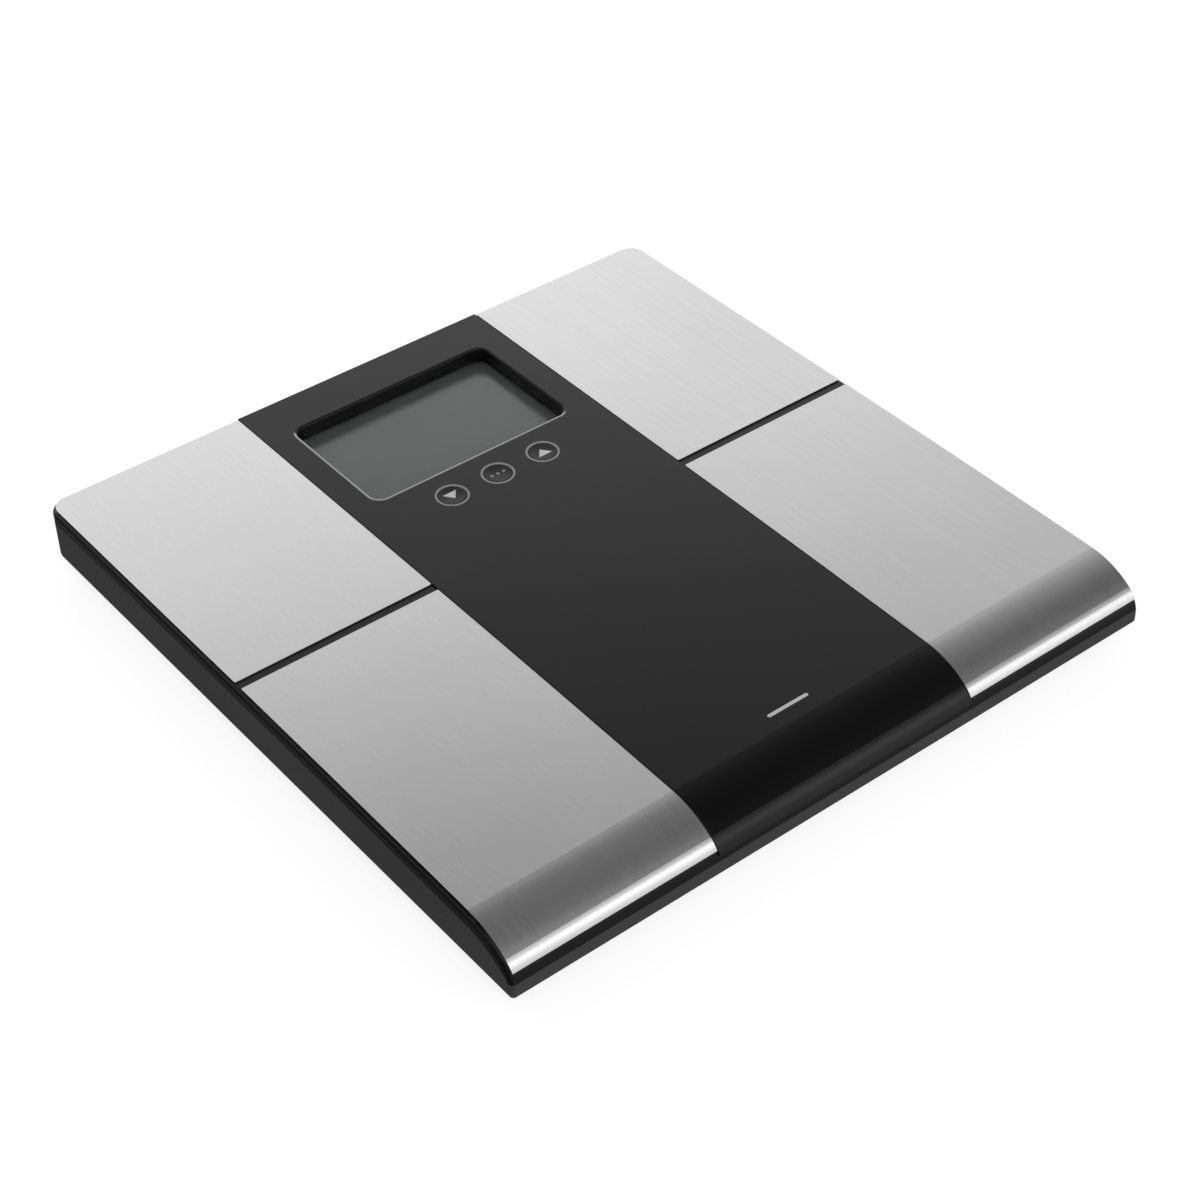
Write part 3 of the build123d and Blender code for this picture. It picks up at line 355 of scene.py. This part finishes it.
def satin_black():
    """Deck plastic: satin on the band, polished on the rim and the window's edge, with a painted highlight
    on the window's left and front edges.
    """
    surface = Surface("satin_black", (0.0035, 0.0035, 0.0037), 0.24, specular=0.34)
    fine = surface.noise(2600.0, detail=2.0)
    broad = surface.noise(16.0, detail=3.0)
    plastic = surface.tone(surface.spread(broad, 0.88, 1.12))
    axes = surface.node("ShaderNodeSeparateXYZ")
    surface.link(surface.place, axes.inputs[0])
    edge, painted_highlight = window_edge_masks(surface, axes.outputs["X"], axes.outputs["Y"])
    plate_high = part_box("rear_right_plate")[1]
    rim = surface.calc("GREATER_THAN", surface.calc("ABSOLUTE", axes.outputs["X"]), plate_high.x + RIM_GAP)
    satin_or_polished = surface.node("ShaderNodeMix")
    surface.link(surface.calc("MAXIMUM", edge, rim), satin_or_polished.inputs["Factor"])
    surface.link(surface.spread(fine, 0.20, 0.27), satin_or_polished.inputs["A"])
    surface.link(surface.spread(broad, 0.07, 0.13), satin_or_polished.inputs["B"])
    surface.gloss(satin_or_polished.outputs["Result"])
    # Painted highlight: lighter, metallic colour along the window's left and front edges, standing in for
    # their reflection
    plastic_or_painted_highlight = surface.node("ShaderNodeMix", data_type="RGBA")
    plastic_or_painted_highlight.inputs["B"].default_value = PAINTED_HIGHLIGHT_COLOR
    surface.link(painted_highlight, plastic_or_painted_highlight.inputs["Factor"])
    surface.link(plastic, plastic_or_painted_highlight.inputs["A"])
    surface.link(plastic_or_painted_highlight.outputs["Result"], surface.shader.inputs["Base Color"])
    surface.link(painted_highlight, surface.shader.inputs["Metallic"])
    surface.bump(fine, 0.0015 * MM)
    return surface.material


def charcoal():
    """Lower case: fine textured charcoal plastic."""
    surface = Surface("charcoal_textured", (0.040, 0.040, 0.041), 0.58, specular=0.35)
    fine = surface.noise(1500.0, detail=3.0, roughness=0.6)
    broad = surface.noise(18.0, detail=3.0)
    fine_tone = surface.spread(fine, 0.75, 1.25)
    broad_tone = surface.spread(broad, 0.93, 1.07)
    surface.tone(surface.calc("MULTIPLY", fine_tone, broad_tone))
    surface.gloss(surface.spread(fine, 0.50, 0.66))
    surface.bump(fine, 0.03 * MM)
    return surface.material


def clear_lens():
    """Clear acrylic with a trace of haze."""
    surface = Surface("clear_lens", (0.92, 0.94, 0.94), 0.03)
    surface.shader.inputs["Transmission Weight"].default_value = 1.0
    surface.shader.inputs["IOR"].default_value = 1.3
    haze = surface.noise(40.0, detail=3.0)
    surface.gloss(surface.spread(haze, 0.02, 0.05))
    return surface.material


def lcd_glass():
    """Unlit LCD: even grey film with a very fine cell pattern."""
    surface = Surface("lcd_grey", (0.22, 0.222, 0.220), 0.3, specular=0.15)
    cells = surface.noise(2200.0, detail=1.0)
    broad = surface.noise(9.0, detail=2.0)
    fine_tone = surface.spread(cells, 0.995, 1.005)
    broad_tone = surface.spread(broad, 0.95, 1.05)
    surface.tone(surface.calc("MULTIPLY", fine_tone, broad_tone))
    surface.gloss(surface.spread(cells, 0.29, 0.31))
    return surface.material


def circuit_board():
    """Solder mask with copper tracks showing through as darker lines."""
    surface = Surface("solder_mask", (0.03, 0.16, 0.06), 0.35)
    tracks = surface.node("ShaderNodeTexBrick")
    tracks.inputs["Scale"].default_value = 120.0
    tracks.inputs["Mortar Size"].default_value = 0.04
    tracks.inputs["Color1"].default_value = (1, 1, 1, 1)
    tracks.inputs["Color2"].default_value = (0.9, 0.9, 0.9, 1)
    tracks.inputs["Mortar"].default_value = (0.55, 0.55, 0.55, 1)
    surface.link(surface.place, tracks.inputs["Vector"])
    surface.tone(tracks.outputs["Color"])
    surface.bump(tracks.outputs["Fac"], 0.03 * MM)
    surface.gloss(surface.spread(surface.noise(300.0), 0.3, 0.4))
    return surface.material


# ---------- which node wears which material ----------

def paint(names, material):
    """Gives CAD nodes one material."""
    for name in names:
        mesh = nodes[name].data
        mesh.materials.clear()
        mesh.materials.append(material)


def of_each(names, ending):
    return [f"{name}_{ending}" for name in names]


def paint_case():
    paint(PLATES, brushed_steel())
    paint(["platform_shell", "shell_ribs"] + of_each(KEYS, "key"), satin_black())
    paint(["base_tray", "battery_door"] + of_each(FEET, "foot"), charcoal())
    paint(of_each(FEET, "foot_pad"), moulded("pad_rubber", (0.03, 0.03, 0.03), 0.75, grain=700.0))
    paint(["unit_button"], moulded("button_plastic", (0.02, 0.02, 0.021), 0.45))
    ring_trim = moulded("ring_trim", (0.33, 0.33, 0.33), 0.4, grain=1800.0, grain_height=0.004 * MM)
    paint(["key_rings"], ring_trim)
    paint(["display_lens"], clear_lens())
    paint(["case_screws", "board_screws", "carrier_screws"], metal("zinc", (0.6, 0.61, 0.63), 0.3))


def paint_inside():
    paint(["lcd_panel"], lcd_glass())
    paint(["lcd_backlight"], moulded("diffuser", (0.8, 0.82, 0.81), 0.4))
    natural = moulded("natural_plastic", (0.66, 0.65, 0.6), 0.5)
    paint(["lcd_holder"] + of_each(FEET, "cell_carrier"), natural)
    paint(["zebra_strip"], moulded("zebra_rubber", (0.55, 0.25, 0.24), 0.7))
    paint(["main_board", "key_board"], circuit_board())
    dark = moulded("moulded_epoxy", (0.02, 0.02, 0.02), 0.5)
    paint(["board_components", "key_switches", "unit_switch"], dark)
    paint(["key_ribbon"], moulded("ribbon_film", (0.7, 0.7, 0.68), 0.45))
    paint(of_each(KEYS, "switch_plunger"), moulded("plunger_plastic", (0.7, 0.7, 0.66), 0.45))
    paint(of_each(FEET, "load_cell"), metal("ground_steel", (0.55, 0.55, 0.54), 0.35))
    paint(["strain_gauges"], moulded("gauge_seal", (0.8, 0.8, 0.76), 0.5))
    paint(["plate_adhesive"], moulded("adhesive_film", (0.75, 0.75, 0.7), 0.5))
    paint(BATTERIES, moulded("battery_jacket", (0.05, 0.05, 0.06), 0.3))
    paint(["battery_contacts"], metal("nickel", (0.72, 0.69, 0.63), 0.22))
    paint(["electrode_contacts"], metal("brass", (0.76, 0.56, 0.26), 0.28))
    paint(["cell_wires"], moulded("white_insulation", (0.75, 0.75, 0.73), 0.4))
    paint(["electrode_wires", "battery_wires"], moulded("red_insulation", (0.45, 0.03, 0.02), 0.4))


# ---------- printed marks ----------

MARK_THICKNESS = 0.03 * MM
# A mark's edges are halved until they are this short, at most so many times
MARK_GRID = 0.45 * MM
MARK_SPLITS = 6
SAME_SPOT = 1e-6
ROUND_STEPS = 6
KEY_RADIUS = 6.0 * MM
KEY_DISH_DEPTH = 0.25 * MM
ARROW_HALF_WIDTH = 3.3 * MM
ARROW_HALF_HEIGHT = 2.2 * MM
DOT_SIZE = 1.5 * MM
DOT_PITCH = 3.0 * MM
BAR_PLACE = (-1.35 * MM, -125.65 * MM)
BAR_SIZE = (20.0 * MM, 1.6 * MM)
CAMBER_RADIUS = 8250.0 * MM


def rounded_bar(x, y, width, length):
    """Outline of a bar with round ends, or of a dot when its sides are equal."""
    radius = min(width, length) / 2
    outline = []
    for corner_x, corner_y, start in ((1, 1, 0), (-1, 1, 90), (-1, -1, 180), (1, -1, 270)):
        centre_x = x + corner_x * (width / 2 - radius)
        centre_y = y + corner_y * (length / 2 - radius)
        for step in range(ROUND_STEPS + 1):
            angle = math.radians(start + 90 * step / ROUND_STEPS)
            spot = (centre_x + radius * math.cos(angle), centre_y + radius * math.sin(angle))
            if not outline or math.dist(spot, outline[-1]) > SAME_SPOT:
                outline.append(spot)
    if math.dist(outline[0], outline[-1]) < SAME_SPOT:
        outline.pop()
    return outline


def flat_grid(outlines):
    """Flat triangles that fill outlines which run anticlockwise."""
    flat = bmesh.new()
    for outline in outlines:
        flat.faces.new([flat.verts.new((x, y, 0)) for x, y in outline])
    bmesh.ops.triangulate(flat, faces=flat.faces[:])
    for _ in range(MARK_SPLITS):
        long_edges = [edge for edge in flat.edges if edge.calc_length() > MARK_GRID]
        if not long_edges:
            break
        bmesh.ops.subdivide_edges(flat, edges=long_edges, cuts=1)
        bmesh.ops.triangulate(flat, faces=flat.faces[:])
    flat.verts.index_update()
    return flat


def slab(flat, height_at):
    """Corners and faces of a thin closed slab over flat triangles, on a surface of the given height."""
    lower = [(vert.co.x, vert.co.y, height_at(vert.co.x, vert.co.y)) for vert in flat.verts]
    upper = [(x, y, z + MARK_THICKNESS) for x, y, z in lower]
    up = len(lower)
    faces = []
    for face in flat.faces:
        corners = [vert.index for vert in face.verts]
        faces.append(corners[::-1])
        faces.append([corner + up for corner in corners])
    for edge in flat.edges:
        if edge.is_boundary:
            start = edge.link_loops[0].vert.index
            end = edge.link_loops[0].link_loop_next.vert.index
            faces.append([start, end, end + up, start + up])
    return lower + upper, faces


def printed(name, outlines, height_at, body, material):
    """Thin print with the given outlines, lying on the surface whose height is a function of x and y."""
    flat = flat_grid(outlines)
    corners, faces = slab(flat, height_at)
    flat.free()
    data = bpy.data.meshes.new(name)
    data.from_pydata(corners, [], faces)
    data.materials.append(material)
    piece = bpy.data.objects.new(name, data)
    bpy.context.scene.collection.objects.link(piece)
    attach(piece, body)


def key_top(key):
    """Centre of a key, and the height of its hollow top as a function of x and y."""
    low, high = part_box(f"{key}_key")
    centre = (low + high) / 2

    def height_at(x, y):
        reach = min(math.dist((x, y), (centre.x, centre.y)) / KEY_RADIUS, 1.0)
        return deck_top - KEY_DISH_DEPTH * (1 - reach ** 2)

    return centre, height_at


def camber_top():
    """Height of the cambered half of the deck, which starts midway between the rear and front plates."""
    rear_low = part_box("rear_left_plate")[0]
    front_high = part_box("front_left_plate")[1]
    start_y = (rear_low.y + front_high.y) / 2

    def height_at(_, y):
        return deck_top - CAMBER_RADIUS + math.sqrt(CAMBER_RADIUS ** 2 - (start_y - y) ** 2)

    return height_at


def arrow(centre, turn):
    """Triangle that points to the back for a turn of 1 and to the front for -1, anticlockwise."""
    return [
        (centre.x - turn * ARROW_HALF_WIDTH, centre.y - turn * ARROW_HALF_HEIGHT),
        (centre.x + turn * ARROW_HALF_WIDTH, centre.y - turn * ARROW_HALF_HEIGHT),
        (centre.x, centre.y + turn * ARROW_HALF_HEIGHT),
    ]


def printed_marks():
    white = moulded("white_ink", (0.78, 0.78, 0.78), 0.45, grain=2500.0, grain_height=0.002 * MM)
    grey = moulded("grey_ink", (0.30, 0.30, 0.30), 0.45, grain=2500.0, grain_height=0.002 * MM)
    for key, turn in (("down", -1), ("up", 1)):
        centre, height_at = key_top(key)
        printed(f"{key}_key_mark", [arrow(centre, turn)], height_at, f"{key}_key", white)
    centre, height_at = key_top("set")
    dots = [rounded_bar(centre.x + shift * DOT_PITCH, centre.y, DOT_SIZE, DOT_SIZE) for shift in (-1, 0, 1)]
    printed("set_key_mark", dots, height_at, "set_key", grey)
    bar = rounded_bar(*BAR_PLACE, *BAR_SIZE)
    printed("deck_accent_bar", [bar], camber_top(), "scale_body", white)


# ---------- finish ----------


bpy.context.scene.view_settings.view_transform = "Standard"
make_camera()
make_world()
make_floor()
paint_case()
paint_inside()
printed_marks()
